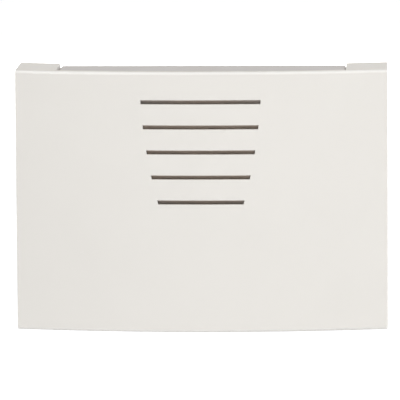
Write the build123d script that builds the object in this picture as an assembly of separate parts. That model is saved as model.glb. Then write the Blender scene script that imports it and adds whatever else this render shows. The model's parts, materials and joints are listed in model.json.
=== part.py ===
from build123d import *
import math
import os

# A wall chime box: a bowed plastic cover over a tray that carries two tone bars,
# two coils with sliding plungers, and a terminal board for the bell wires.
# Millimetres. X runs to the right and Y into the wall, and Z is up. The origin is the
# middle of the face that lies on the wall, so everything in front of it has negative Y.

# Cover
cover_width = 200.0
cover_height = 141.0
side_depth = 38.0
front_bow = 11.0
cover_wall = 2.5
top_edge_round = 1.8
bottom_edge_round = 1.6
side_edge_round = 0.6
shoulder_width = 22.3
shoulder_bow = 14.0
stop_rib_thickness = 2.0
stop_rib_reach = 4.0
stop_rib_spacing = 80.0

# Sound slots in the cover's front
slot_count = 5
slot_height = 2.2
slot_pitch = 13.5
first_slot_drop = 16.45
slot_width_at_top = 65.3
slot_side_radius = 266.0

# Base tray
cover_gap = 0.4
base_wall = 2.5
rim_thickness = 2.0
rim_depth = 12.0
rim_stop_gap = 0.3
platform_drop = 1.9
platform_wall = 2.7
platform_end_gap = 0.5
platform_front_gap = 1.0
platform_end_round = 0.7
platform_back_round = 0.5
grip_pad_length = 12.0
grip_pad_depth = 6.0
grip_pad_spacing = 80.0

# Holes for the wall screws and for the bell wires
wall_screw_spacing = 80.0
wall_screw_height = 20.0
wall_screw_radius = 2.25
wall_screw_ring = 2.0
wall_screw_ring_rise = 1.0
wire_hole_radius = 7.0
wire_hole_x = 40.0
wire_hole_drop = 15.0

# Clearances
overrun = 5.0
pick_reach = 0.05
fit_gap = 0.05
running_gap = 0.05
soft_gap = 0.2

# The two striking axes, level with the middle of the tone bars' width
axis_depth = 20.0
axis_pitch = 26.0

# Tone bars
bar_spread = 124.0
bar_width = 24.0
low_bar_thickness = 2.5
low_bar_bottom_room = 5.6
low_bar_top_room = 13.9
high_bar_thickness = 2.0
high_bar_bottom_room = 11.6
high_bar_top_room = 19.9
bar_hole_radius = 4.0
bar_corner_round = 1.5
bar_node_share = 0.224

# Tone bar supports
pin_radius = 2.0
grommet_flange_radius = 6.0
grommet_flange = 1.8
retainer_radius = 4.5
retainer_thickness = 2.0
pin_end_reach = 0.6
bracket_wall = 3.0
bracket_height = 14.0
bracket_room = 4.5
bracket_rise = 6.5
bracket_boss_radius = 4.2
bracket_gusset_length = 7.0
bracket_gusset_depth = 12.0

# Coils
core_wall = 1.55
winding_build = 3.1
flange_lip = 0.3
flange_thickness = 1.5
coil_gap = 0.3
frame_sheet = 1.5
frame_length = 44.0
foot_length = 8.0
neck_reach = 1.5

# Plungers, with a plastic tip in each end
plunger_radius = 4.0
low_rest_gap = 2.5
stroke = 11.0
low_tip_length = 10.0
high_tip_length = 8.0
tip_step = 0.4
tip_round = 2.2
collar_lip = 1.2
collar_thickness = 1.5
spigot_radius = 1.5
spigot_length = 5.0

# Return springs
spring_wire_radius = 0.3
spring_side_gap = 0.6
spring_turns = 7
spring_end_gap = 0.1

# Stop for the rear plunger
felt_thickness = 2.5
felt_size = 10.0
stop_thickness = 2.0
stop_bar_gap = 2.4
stop_height = 11.0
stop_rise = 5.5
stop_retainer_gap = 1.088

# Screws
screw_radius = 1.5
terminal_screw_length = 6.0
foot_screw_end_room = 1.25
board_screw_end_room = 0.6
screw_head_radius = 2.8
screw_head = 1.8
screw_head_round = 0.6
screw_slot_width = 0.7
screw_slot_depth = 0.8
boss_radius = 3.5
screw_floor = 1.0

# Terminal board
board_end_wall = 0.45
board_height = 8.5
board_depth = 10.0
board_top_room = 1.1
terminal_count = 3
terminal_pitch = 13.0
barrier_thickness = 1.2
barrier_rise = 4.5
terminal_sheet = 0.8
terminal_width = 8.0
solder_tab_width = 5.0
solder_tab_lip = 0.4
clamp_size = 6.5
clamp_thickness = 1.0
board_edge_round = 0.6

# Coil leads: insulated wire along the tray
lead_radius = 0.6
lead_bend = 4.0
lead_floor_gap = 0.2
lead_start_x = 10.0
lead_turn_room = 4.5
lane_room = 5.75
row_gap = 0.5
common_lead_x = 1.5
guide_count = 3
guide_pitch = 22.0
guide_radius = 0.8
guide_gap = 0.6
guide_rise = 3.0
guide_start = 8.0

# Places worked out from the sizes above
half_width = cover_width / 2
half_height = cover_height / 2
notch_half = half_width - shoulder_width
room_half_width = half_width - cover_wall
rim_half_width = room_half_width - cover_gap
rim_bottom = -half_height + cover_wall + cover_gap
rim_top = half_height - cover_wall - cover_gap
platform_top = half_height - platform_drop
platform_half = notch_half - platform_end_gap
room_bottom = rim_bottom + rim_thickness
room_top = platform_top - platform_wall
floor_y = -base_wall
axis_y = -axis_depth
low_bottom = room_bottom + low_bar_bottom_room
low_top = room_top - low_bar_top_room
low_still_drop = (low_top - low_bottom) * bar_node_share
low_nodes = (low_bottom + low_still_drop, low_top - low_still_drop)
high_bottom = room_bottom + high_bar_bottom_room
high_top = room_top - high_bar_top_room
high_still_drop = (high_top - high_bottom) * bar_node_share
high_nodes = (high_bottom + high_still_drop, high_top - high_still_drop)
rear_axis_z = low_nodes[0] - retainer_radius - stop_retainer_gap - stop_height / 2
front_axis_z = rear_axis_z + axis_pitch
bar_face = bar_spread / 2
core_radius = plunger_radius + running_gap + core_wall
winding_radius = core_radius + winding_build
flange_radius = winding_radius + flange_lip
spring_radius = plunger_radius + spring_side_gap + spring_wire_radius
tip_radius = plunger_radius - tip_step
collar_radius = spring_radius + spring_wire_radius + collar_lip
frame_half = frame_length / 2
frame_height = 2 * flange_radius
frame_depth = 2 * (flange_radius + coil_gap + frame_sheet)
frame_back_y = axis_y + frame_depth / 2
neck_end = frame_half + neck_reach
rod_low_end = -bar_face + low_rest_gap + low_tip_length
rod_high_end = bar_face - stroke - high_tip_length
low_row = lead_radius + row_gap
high_row = low_row + 2 * lead_radius + row_gap
solder_tab_reach = high_row + lead_radius + solder_tab_lip
board_top = room_top - board_top_room - solder_tab_reach
board_middle_z = board_top - board_height / 2
board_front_y = floor_y - fit_gap - board_depth
board_end = 2 * (boss_radius + fit_gap + board_end_wall)
board_half = (terminal_count - 1) * terminal_pitch / 2 + terminal_width / 2 + board_end
lead_turn_x = frame_half + foot_length + lead_turn_room
wall_screw_side = wall_screw_spacing / 2 + wall_screw_radius + wall_screw_ring
lane_pitch = 2 * (lead_radius + guide_radius + guide_gap)
inner_lane_x = max(wall_screw_side, lead_turn_x + 2 * lead_bend) + lane_room
outer_lane_x = inner_lane_x + lane_pitch
screw_end_y = floor_y - screw_floor
front_radius = (half_width ** 2 + front_bow ** 2) / (2 * front_bow)
front_centre_y = -side_depth - front_bow + front_radius


def block(x0, x1, y0, y1, z0, z1):
    """A box from its low corner to its high corner."""
    middle = Pos((x0 + x1) / 2, (y0 + y1) / 2, (z0 + z1) / 2)
    return middle * Box(x1 - x0, y1 - y0, z1 - z0)


def rod_x(radius, x0, x1, y, z):
    """A round rod along X."""
    return Pos((x0 + x1) / 2, y, z) * Rot(0, 90, 0) * Cylinder(radius, x1 - x0)


def rod_y(radius, y0, y1, x, z):
    """A round rod along Y."""
    return Pos(x, (y0 + y1) / 2, z) * Rot(90, 0, 0) * Cylinder(radius, y1 - y0)


def tube_x(outer, inner, x0, x1, y, z):
    """A round tube along X."""
    return rod_x(outer, x0, x1, y, z) - rod_x(inner, x0 - overrun, x1 + overrun, y, z)


def bowed_depth(x, inset):
    """Y of the bowed front at X, set back by inset from the outer face."""
    radius = front_radius - inset
    return front_centre_y - math.sqrt(radius ** 2 - x ** 2)


def bowed_slab(half, inset, back_y, z0, z1):
    """A slab from a straight back to a front that runs parallel to the cover's bow."""
    corner_y = bowed_depth(half, inset)
    middle_y = bowed_depth(0, inset)
    outline = [
        ThreePointArc((-half, corner_y), (0, middle_y), (half, corner_y)),
        Line((half, corner_y), (half, back_y)),
        Line((half, back_y), (-half, back_y)),
        Line((-half, back_y), (-half, corner_y)),
    ]
    face = make_face(Wire(outline))
    return Pos(0, 0, z0) * extrude(face, amount=z1 - z0, dir=(0, 0, 1))


def slot_half_width(z):
    """Half a sound slot's width at height z: the slots' ends lie on two arcs."""
    drop = half_height - z
    sagitta = slot_side_radius - math.sqrt(slot_side_radius ** 2 - drop ** 2)
    return slot_width_at_top / 2 - sagitta


def sound_slot(number):
    """The cutter for one sound slot, with slanted ends."""
    middle = half_height - first_slot_drop - number * slot_pitch
    low = middle - slot_height / 2
    high = middle + slot_height / 2
    corners = [
        (-slot_half_width(low), low),
        (slot_half_width(low), low),
        (slot_half_width(high), high),
        (-slot_half_width(high), high),
    ]
    face = Plane.XZ * make_face(Polyline(*corners, close=True))
    return extrude(face, amount=side_depth + front_bow + overrun, dir=(0, -1, 0))


def make_cover():
    """The cover: a bowed front with five slots, sides, a bottom and two top shoulders."""
    body = bowed_slab(half_width, 0, 0, -half_height, half_height)
    long_edges = [edge for edge in body.edges() if edge.geom_type == GeomType.CIRCLE]
    top_edge = max(long_edges, key=lambda edge: edge.center().Z)
    body = fillet(top_edge, top_edge_round)
    long_edges = [
        edge for edge in body.edges()
        if edge.geom_type == GeomType.CIRCLE and edge.length > cover_width
    ]
    bottom_edge = min(long_edges, key=lambda edge: edge.center().Z)
    body = fillet(bottom_edge, bottom_edge_round)
    for side in (-1, 1):
        outline = [
            edge for edge in body.edges()
            if abs(edge.center().X - side * half_width) < pick_reach
            and edge.bounding_box().size.X < pick_reach
            and edge.center().Y < -pick_reach
        ]
        body = fillet(outline, side_edge_round)
    room = bowed_slab(
        room_half_width, cover_wall, overrun, -half_height + cover_wall, half_height - cover_wall
    )
    notch = bowed_slab(
        notch_half, cover_wall, overrun, half_height - cover_wall - fit_gap, half_height + overrun
    )
    body = body - room - notch - shoulder_cut()
    for number in range(slot_count):
        body = body - sound_slot(number)
    for side in (-1, 1):
        for level in (-1, 1):
            body = body + stop_rib(side, level * stop_rib_spacing / 2)
    return body


def shoulder_cut():
    """The bowed piece left out behind the shoulders' back edges."""
    arc = ThreePointArc((-half_width, 0), (0, -shoulder_bow), (half_width, 0))
    back = [
        Line((half_width, 0), (half_width, overrun)),
        Line((half_width, overrun), (-half_width, overrun)),
        Line((-half_width, overrun), (-half_width, 0)),
    ]
    face = make_face(Wire([arc] + back))
    low = half_height - cover_wall
    return Pos(0, 0, low) * extrude(face, amount=cover_wall + overrun, dir=(0, 0, 1))


def stop_rib(side, z):
    """A rib inside the cover that stops it on the tray's rim."""
    inner = side * (room_half_width - stop_rib_reach)
    outer = side * (room_half_width + cover_wall / 2)
    front = bowed_depth(room_half_width - stop_rib_reach, cover_wall / 2)
    back = -rim_depth - rim_stop_gap
    half = stop_rib_thickness / 2
    return block(min(inner, outer), max(inner, outer), front, back, z - half, z + half)


bars = {
    -1: (low_bar_thickness, low_bottom, low_top, low_nodes),
    1: (high_bar_thickness, high_bottom, high_top, high_nodes),
}


def between(side, a, b):
    """Two distances from the middle, as low and high X on one side."""
    return min(side * a, side * b), max(side * a, side * b)


def make_tone_bar(side):
    """A flat metal bar, hung at its two still points."""
    thickness, bottom, top, nodes = bars[side]
    x0, x1 = between(side, bar_face, bar_face + thickness)
    bar = block(x0, x1, axis_y - bar_width / 2, axis_y + bar_width / 2, bottom, top)
    bar = fillet(bar.edges().filter_by(Axis.X), bar_corner_round)
    for z in nodes:
        bar = bar - rod_x(bar_hole_radius, x0 - overrun, x1 + overrun, axis_y, z)
    return bar


def make_grommet(side, z):
    """A rubber grommet in the bar's hole, with a flange on each face."""
    thickness = bars[side][0]
    inner = bar_face - soft_gap - grommet_flange
    outer = bar_face + thickness + soft_gap + grommet_flange
    x0, x1 = between(side, inner, outer)
    body = rod_x(bar_hole_radius - soft_gap, x0, x1, axis_y, z)
    a0, a1 = between(side, inner, bar_face - soft_gap)
    b0, b1 = between(side, bar_face + thickness + soft_gap, outer)
    body = body + rod_x(grommet_flange_radius, a0, a1, axis_y, z)
    body = body + rod_x(grommet_flange_radius, b0, b1, axis_y, z)
    return body - rod_x(pin_radius + soft_gap, x0 - overrun, x1 + overrun, axis_y, z)


def grommet_ends(side):
    """Distances from the middle to the grommet's inner and outer faces."""
    thickness = bars[side][0]
    return bar_face - soft_gap - grommet_flange, bar_face + thickness + soft_gap + grommet_flange


def bracket_face(side):
    """Distance from the middle to the bracket wall that carries the pin."""
    return bar_face + bars[side][0] + bracket_room


def make_pin(side, z):
    """The steel pin that carries a grommet."""
    inner = grommet_ends(side)[0] - soft_gap - retainer_thickness - pin_end_reach
    x0, x1 = between(side, inner, bracket_face(side) + bracket_wall)
    return rod_x(pin_radius, x0, x1, axis_y, z)


def make_retainer(side, z):
    """The push-on washer that keeps a grommet on its pin."""
    outer = grommet_ends(side)[0] - soft_gap
    x0, x1 = between(side, outer - retainer_thickness, outer)
    return tube_x(retainer_radius, pin_radius + fit_gap, x0, x1, axis_y, z)


def make_bracket(side, z):
    """The upright wall on the tray that holds a pin, with its boss and gusset."""
    face = bracket_face(side)
    half = bracket_height / 2
    x0, x1 = between(side, face, face + bracket_wall)
    wall = block(x0, x1, axis_y - bracket_rise, floor_y + fit_gap, z - half, z + half)
    b0, b1 = between(side, grommet_ends(side)[1] + soft_gap, face + fit_gap)
    wall = wall + rod_x(bracket_boss_radius, b0, b1, axis_y, z)
    start = side * (face + bracket_wall - fit_gap)
    end = side * (face + bracket_wall + bracket_gusset_length)
    corners = [
        (start, floor_y + fit_gap),
        (end, floor_y + fit_gap),
        (start, floor_y - bracket_gusset_depth),
    ]
    gusset = extrude(
        make_face(Polyline(*corners, close=True)), amount=bracket_wall / 2, both=True, dir=(0, 0, 1)
    )
    wall = wall + Pos(0, 0, z) * gusset
    far = face + bracket_wall + overrun
    h0, h1 = between(side, grommet_ends(side)[1], far)
    return wall - rod_x(pin_radius + fit_gap, h0, h1, axis_y, z)


def foot_places():
    """The four places where the coil frames are screwed down."""
    reach = frame_half + foot_length / 2
    return [(side * reach, z) for z in (front_axis_z, rear_axis_z) for side in (-1, 1)]


def board_screw_places():
    """The two places where the terminal board is screwed down."""
    return [(side * (board_half - board_end / 2), board_middle_z) for side in (-1, 1)]


def guide_places():
    """The pegs that keep the coil leads in their lanes."""
    places = []
    for side in (-1, 1):
        for row in range(guide_count):
            z = front_axis_z + frame_height / 2 + guide_start + row * guide_pitch
            for number in range(3):
                places.append((side * (inner_lane_x + (number - 1 / 2) * lane_pitch), z))
    return places


def make_base_tray():
    """The tray: back plate, rim, top platform, and all that is moulded on it."""
    tray = block(-rim_half_width, rim_half_width, floor_y, 0, rim_bottom, rim_top)
    rim = block(-rim_half_width, rim_half_width, -rim_depth, 0, rim_bottom, rim_top)
    inside = block(
        -rim_half_width + rim_thickness, rim_half_width - rim_thickness,
        -rim_depth - overrun, floor_y, room_bottom, rim_top - rim_thickness,
    )
    tray = tray + (rim - inside)
    tray = tray + make_platform()
    tray = tray - block(
        -platform_half + rim_thickness, platform_half - rim_thickness,
        -rim_depth - overrun, floor_y, rim_top - rim_thickness - overrun, room_top,
    )
    for side in (-1, 1):
        for z in bars[side][3]:
            tray = tray + make_bracket(side, z)
    for x, z in foot_places():
        tray = tray + rod_y(boss_radius, frame_back_y, floor_y + fit_gap, x, z)
        tray = tray - rod_y(screw_radius + fit_gap, frame_back_y - overrun, screw_end_y, x, z)
    boss_front = floor_y - board_depth / 2
    for x, z in board_screw_places():
        tray = tray + rod_y(boss_radius, boss_front, floor_y + fit_gap, x, z)
        tray = tray - rod_y(screw_radius + fit_gap, boss_front - overrun, screw_end_y, x, z)
    tray = tray + make_plunger_stop()
    for side in (-1, 1):
        for level in (-1, 1):
            tray = tray + make_grip_pad(side, level * grip_pad_spacing / 2)
    for x, z in guide_places():
        tray = tray + rod_y(guide_radius, floor_y - guide_rise, floor_y + fit_gap, x, z)
    for side in (-1, 1):
        x = side * wall_screw_spacing / 2
        ring = wall_screw_radius + wall_screw_ring
        tray = tray + rod_y(ring, floor_y - wall_screw_ring_rise, floor_y + fit_gap, x, wall_screw_height)
        tray = tray - rod_y(
            wall_screw_radius, floor_y - overrun, overrun, x, wall_screw_height
        )
    wire_hole_z = rim_top - wire_hole_drop
    return tray - rod_y(wire_hole_radius, floor_y - overrun, overrun, wire_hole_x, wire_hole_z)


def make_grip_pad(side, z):
    """A flat pad on the rim that holds the cover by friction."""
    half = grip_pad_length / 2
    middle = -rim_depth / 2
    x0, x1 = between(side, rim_half_width - fit_gap, room_half_width - running_gap)
    return block(x0, x1, middle - grip_pad_depth / 2, middle + grip_pad_depth / 2, z - half, z + half)


def make_platform():
    """The tray's top wall, which fills the notch in the cover's top."""
    platform = bowed_slab(
        platform_half, cover_wall + platform_front_gap, 0, room_top - rim_thickness, platform_top
    )
    ends = [
        edge for edge in platform.edges().filter_by(Axis.Y)
        if abs(edge.center().Z - platform_top) < pick_reach
    ]
    platform = fillet(ends, platform_end_round)
    back = [
        edge for edge in platform.edges().filter_by(Axis.X)
        if abs(edge.center().Z - platform_top) < pick_reach and abs(edge.center().Y) < pick_reach
    ]
    platform = chamfer(back, platform_back_round)
    under = bowed_slab(
        platform_half - rim_thickness, cover_wall + platform_front_gap - overrun, floor_y,
        room_top - rim_thickness - overrun, room_top,
    )
    return platform - under


def make_plunger_stop():
    """The rib that carries the rear plunger's felt."""
    outer = -bar_face + stop_bar_gap
    half = stop_height / 2
    return block(
        outer, outer + stop_thickness, axis_y - stop_rise, floor_y + fit_gap,
        rear_axis_z - half, rear_axis_z + half,
    )


def make_stop_felt():
    """The felt pad that the rear plunger rests against."""
    face = -bar_face + stop_bar_gap + stop_thickness + fit_gap
    half = felt_size / 2
    return block(face, face + felt_thickness, axis_y - half, axis_y + half,
                 rear_axis_z - half, rear_axis_z + half)


def make_coil_bracket(z):
    """A steel frame: a back strip with feet, and an upright at each end of the coil."""
    half = frame_height / 2
    reach = frame_half + foot_length
    front_y = axis_y - frame_depth / 2
    strip = block(-reach, reach, frame_back_y - frame_sheet, frame_back_y, z - half, z + half)
    for side in (-1, 1):
        x0, x1 = between(side, frame_half - frame_sheet, frame_half)
        upright = block(x0, x1, front_y, frame_back_y, z - half, z + half)
        hole = rod_x(core_radius + fit_gap, x0 - overrun, x1 + overrun, axis_y, z)
        strip = strip + upright - hole
        strip = strip - rod_y(
            screw_radius + fit_gap, frame_back_y - overrun, frame_back_y + overrun,
            side * (frame_half + foot_length / 2), z,
        )
    return strip


def make_bobbin(z):
    """The plastic spool that the plunger slides in."""
    inside = frame_half - frame_sheet - fit_gap
    body = rod_x(core_radius, -neck_end, neck_end, axis_y, z)
    for side in (-1, 1):
        x0, x1 = between(side, inside - flange_thickness, inside)
        body = body + rod_x(flange_radius, x0, x1, axis_y, z)
    bore = plunger_radius + running_gap
    return body - rod_x(bore, -neck_end - overrun, neck_end + overrun, axis_y, z)


def make_winding(z):
    """The wound coil between the spool's flanges."""
    half = frame_half - frame_sheet - flange_thickness - 2 * fit_gap
    return tube_x(winding_radius, core_radius + fit_gap, -half, half, axis_y, z)


def make_plunger(z):
    """The steel rod, drilled at each end for a tip."""
    rod = rod_x(plunger_radius, rod_low_end, rod_high_end, axis_y, z)
    hole = spigot_radius + fit_gap
    deep = spigot_length + fit_gap
    rod = rod - rod_x(hole, rod_low_end - overrun, rod_low_end + deep, axis_y, z)
    return rod - rod_x(hole, rod_high_end - deep, rod_high_end + overrun, axis_y, z)


def make_tip(side, rod_end, length, collar, z):
    """A plastic tip with a rounded nose and a spigot, with or without a spring collar."""
    base = rod_end + side * fit_gap
    nose = rod_end + side * length
    tip = rod_x(tip_radius, min(base, nose), max(base, nose), axis_y, z)
    rim = [
        edge for edge in tip.edges()
        if edge.geom_type == GeomType.CIRCLE and abs(edge.center().X - nose) < pick_reach
    ]
    tip = fillet(rim, tip_round)
    inner = rod_end - side * spigot_length
    tip = tip + rod_x(spigot_radius, min(base, inner), max(base, inner), axis_y, z)
    if collar:
        outer = base + side * collar_thickness
        tip = tip + rod_x(collar_radius, min(base, outer), max(base, outer), axis_y, z)
    return tip


def biarc(start, start_way, end, end_way):
    """Two arcs that meet smoothly, between two points with given directions."""
    gap = end - start
    both = start_way + end_way
    a = both.dot(both) - 4
    b = -2 * gap.dot(both)
    c = gap.dot(gap)
    root = math.sqrt(b * b - 4 * a * c)
    reach = max((-b + root) / (2 * a), (-b - root) / (2 * a))
    first = start + start_way * reach
    second = end - end_way * reach
    middle = (first + second) * 0.5
    way = (second - first).normalized()
    return [Edge.make_tangent_arc(start, start_way, middle), Edge.make_tangent_arc(middle, way, end)]


def make_spring(z):
    """A return spring round the plunger, from the tip's collar to the spool's neck."""
    clear = spring_wire_radius + spring_end_gap
    x0 = rod_low_end + clear
    x1 = -neck_end - clear
    steps = 2 * spring_turns
    slope = (x1 - x0) / (2 * math.pi * spring_turns)
    points = []
    ways = []
    for number in range(steps + 1):
        angle = math.pi * number
        x = x0 + (x1 - x0) * number / steps
        y = axis_y + spring_radius * math.cos(angle)
        points.append(Vector(x, y, z + spring_radius * math.sin(angle)))
        across = Vector(slope, -spring_radius * math.sin(angle), spring_radius * math.cos(angle))
        ways.append(across.normalized())
    tail = 2 * spring_wire_radius
    edges = [Edge.make_line(points[0] - ways[0] * tail, points[0])]
    for number in range(steps):
        edges = edges + biarc(points[number], ways[number], points[number + 1], ways[number + 1])
    edges.append(Edge.make_line(points[-1], points[-1] + ways[-1] * tail))
    path = Wire(edges)
    plane = Plane(origin=path.position_at(0), z_dir=path.tangent_at(0))
    tube = sweep(plane * Circle(spring_wire_radius), path=path)
    pitch_gap = (x1 - x0) / spring_turns - 2 * spring_wire_radius
    share = tube.volume / (math.pi * spring_wire_radius ** 2 * path.length)
    print("spring: least gap between turns", round(pitch_gap, 2), "volume share", round(share, 4))
    return tube


def make_screw(x, z, under_head_y, end_y):
    """A round-headed screw along Y, with a driver slot."""
    head = rod_y(screw_head_radius, under_head_y - screw_head, under_head_y, x, z)
    rim = [
        edge for edge in head.edges()
        if edge.geom_type == GeomType.CIRCLE
        and abs(edge.center().Y - under_head_y + screw_head) < pick_reach
    ]
    head = fillet(rim, screw_head_round)
    half = screw_slot_width / 2
    slot = block(
        x - screw_head_radius - overrun, x + screw_head_radius + overrun,
        under_head_y - screw_head - overrun, under_head_y - screw_head + screw_slot_depth,
        z - half, z + half,
    )
    shank = rod_y(screw_radius, under_head_y, end_y, x, z)
    return head - slot + shank


def make_terminal_board():
    """The plastic block for the terminals, with a barrier between neighbours."""
    low = board_top - board_height
    board = block(-board_half, board_half, board_front_y, floor_y - fit_gap, low, board_top)
    board = fillet(board.edges().filter_by(Axis.Y), board_edge_round)
    for number in range(terminal_count - 1):
        x = terminal_x(number) + terminal_pitch / 2
        side = barrier_thickness / 2
        barrier = block(x - side, x + side, board_front_y - barrier_rise, floor_y - 2 * fit_gap,
                        low, board_top)
        board = board + barrier
    for number in range(terminal_count):
        board = board - rod_y(
            screw_radius + fit_gap, board_front_y - overrun,
            board_front_y + terminal_screw_length + fit_gap, terminal_x(number), board_middle_z,
        )
    boss_front = floor_y - board_depth / 2
    for x, z in board_screw_places():
        board = board - rod_y(boss_radius + fit_gap, boss_front - fit_gap, overrun, x, z)
        board = board - rod_y(screw_radius + fit_gap, board_front_y - overrun, overrun, x, z)
        head_seat = board_front_y + board_depth / 4
        board = board - rod_y(
            screw_head_radius + soft_gap, board_front_y - overrun, head_seat, x, z
        )
    return board


def terminal_x(number):
    """X of a terminal, counted from the left."""
    return (number - (terminal_count - 1) / 2) * terminal_pitch


def make_terminal_plate(number):
    """A brass plate on the board's front, with a tab above it for the coil leads."""
    x = terminal_x(number)
    front = board_front_y - fit_gap - terminal_sheet
    back = board_front_y - fit_gap
    low = board_top - board_height + board_edge_round
    half = terminal_width / 2
    tab = solder_tab_width / 2
    plate = block(x - half, x + half, front, back, low, board_top - board_edge_round)
    plate = plate + block(
        x - tab, x + tab, front, back, board_top - 2 * board_edge_round, board_top + solder_tab_reach
    )
    return plate - rod_y(screw_radius + fit_gap, front - overrun, back + overrun, x, board_middle_z)


def make_clamp_plate(number):
    """The square washer that holds a bell wire under the terminal's screw."""
    x = terminal_x(number)
    back = board_front_y - 2 * fit_gap - terminal_sheet
    front = back - clamp_thickness
    half = clamp_size / 2
    plate = block(x - half, x + half, front, back, board_middle_z - half, board_middle_z + half)
    plate = fillet(plate.edges().filter_by(Axis.Y), board_edge_round)
    return plate - rod_y(screw_radius + fit_gap, front - overrun, back + overrun, x, board_middle_z)


def make_lead(name, side, axis_z, lane, row, end_x):
    """A coil lead: off the winding, over the frame, down to the tray, up its lane, to its tab."""
    top_z = axis_z + flange_radius + soft_gap + lead_radius
    floor = floor_y - lead_floor_gap - lead_radius
    turn_x = side * lead_turn_x
    lane_x = side * lane
    row_z = board_top + row
    tab_y = board_front_y + lead_floor_gap
    route = [
        (side * lead_start_x, axis_y, top_z),
        (turn_x, axis_y, top_z),
        (turn_x, floor, top_z),
        (lane_x, floor, top_z),
        (lane_x, floor, row_z),
        (end_x, floor, row_z),
        (end_x, tab_y, row_z),
    ]
    path = FilletPolyline(*route, radius=[lead_bend] * (len(route) - 2))
    wire = path.wire()
    plane = Plane(origin=wire.position_at(0), z_dir=wire.tangent_at(0))
    tube = sweep(plane * Circle(lead_radius), path=wire)
    share = tube.volume / (math.pi * lead_radius ** 2 * wire.length)
    print(name, "length", round(wire.length, 1), "bends", lead_bend, "volume share", round(share, 4))
    return tube


def save(shapes, name):
    """Write one node: one solid, or a group of identical ones."""
    solids = [solid for shape in shapes for solid in shape.solids()]
    if len(solids) == 1:
        export_step(solids[0], "parts/" + name + ".step")
    else:
        export_step(Compound(children=solids), "parts/" + name + ".step")


def main():
    os.makedirs("parts", exist_ok=True)
    save([make_cover()], "cover")
    save([make_base_tray()], "base_tray")
    save([make_tone_bar(-1)], "low_tone_bar")
    save([make_tone_bar(1)], "high_tone_bar")
    save([make_grommet(-1, z) for z in low_nodes], "low_bar_grommets")
    save([make_grommet(1, z) for z in high_nodes], "high_bar_grommets")
    hangers = [(side, z) for side in (-1, 1) for z in bars[side][3]]
    save([make_pin(side, z) for side, z in hangers], "tone_bar_pins")
    save([make_retainer(side, z) for side, z in hangers], "tone_bar_retainers")
    for label, z in (("front", front_axis_z), ("rear", rear_axis_z)):
        save([make_coil_bracket(z)], label + "_coil_bracket")
        save([make_bobbin(z)], label + "_bobbin")
        save([make_winding(z)], label + "_coil_winding")
        save([make_plunger(z)], label + "_plunger")
        save([make_tip(1, rod_high_end, high_tip_length, False, z)], label + "_high_striker")
        save([make_spring(z)], label + "_plunger_spring")
    save([make_tip(-1, rod_low_end, low_tip_length, True, front_axis_z)], "front_low_striker")
    pad_face = -bar_face + stop_bar_gap + stop_thickness + felt_thickness + 3 * fit_gap
    buffer_length = rod_low_end - pad_face
    save([make_tip(-1, rod_low_end, buffer_length, True, rear_axis_z)], "rear_buffer_tip")
    save([make_stop_felt()], "rear_stop_felt")
    frame_front = frame_back_y - frame_sheet - fit_gap
    foot_end = screw_end_y - foot_screw_end_room
    save([make_screw(x, z, frame_front, foot_end) for x, z in foot_places()], "coil_bracket_screws")
    save([make_terminal_board()], "terminal_board")
    terminals = range(terminal_count)
    save([make_terminal_plate(number) for number in terminals], "terminal_plates")
    save([make_clamp_plate(number) for number in terminals], "terminal_clamp_plates")
    clamp_front = board_front_y - 3 * fit_gap - terminal_sheet - clamp_thickness
    save(
        [
            make_screw(terminal_x(number), board_middle_z, clamp_front, clamp_front + terminal_screw_length)
            for number in terminals
        ],
        "terminal_screws",
    )
    seat = board_front_y + board_depth / 4 - fit_gap
    board_end_y = screw_end_y - board_screw_end_room
    save([make_screw(x, z, seat, board_end_y) for x, z in board_screw_places()], "terminal_board_screws")
    leads = (
        ("front_coil_lead_left", -1, front_axis_z, inner_lane_x, low_row, terminal_x(0)),
        ("front_coil_lead_right", 1, front_axis_z, inner_lane_x, low_row, common_lead_x),
        ("rear_coil_lead_left", -1, rear_axis_z, outer_lane_x, high_row, -common_lead_x),
        ("rear_coil_lead_right", 1, rear_axis_z, outer_lane_x, high_row, terminal_x(terminal_count - 1)),
    )
    for name, side, axis_z, lane, row, end_x in leads:
        save([make_lead(name, side, axis_z, lane, row, end_x)], name)


main()
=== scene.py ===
import json
import math
from functools import partial

import bmesh
import bpy
from mathutils import Matrix, Vector, noise as point_noise


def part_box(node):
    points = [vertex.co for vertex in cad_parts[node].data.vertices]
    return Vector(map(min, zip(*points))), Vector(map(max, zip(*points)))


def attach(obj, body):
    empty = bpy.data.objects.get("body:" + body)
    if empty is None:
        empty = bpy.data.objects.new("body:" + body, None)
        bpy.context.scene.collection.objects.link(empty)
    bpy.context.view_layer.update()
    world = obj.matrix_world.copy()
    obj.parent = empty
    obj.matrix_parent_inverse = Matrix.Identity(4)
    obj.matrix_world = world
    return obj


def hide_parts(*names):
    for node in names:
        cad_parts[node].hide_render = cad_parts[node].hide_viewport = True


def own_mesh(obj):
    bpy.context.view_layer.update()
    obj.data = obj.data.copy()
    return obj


# The visual model of a wall chime box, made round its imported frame.
# X runs to the right, Y into the wall and Z up. Sizes and places of pieces are in millimetres
# and become metres when a piece is made. The camera, the lamps, the floor and the depths of
# reliefs are in metres, and the materials' noise scales are per metre.
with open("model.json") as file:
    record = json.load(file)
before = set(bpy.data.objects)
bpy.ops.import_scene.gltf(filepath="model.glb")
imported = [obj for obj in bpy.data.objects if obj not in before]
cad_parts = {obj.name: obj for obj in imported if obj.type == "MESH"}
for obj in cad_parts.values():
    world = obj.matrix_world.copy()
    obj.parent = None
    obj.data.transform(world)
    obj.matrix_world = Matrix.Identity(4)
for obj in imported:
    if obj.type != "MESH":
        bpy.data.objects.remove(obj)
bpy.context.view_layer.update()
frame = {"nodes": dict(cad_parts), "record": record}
nodes = frame["nodes"]
MM = 0.001
FIXED_BODY = "chime_base"


def measured(node):
    """A node's lowest and highest corner at rest, in millimetres."""
    return [[round(c / MM, 3) for c in corner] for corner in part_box(node)]


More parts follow.
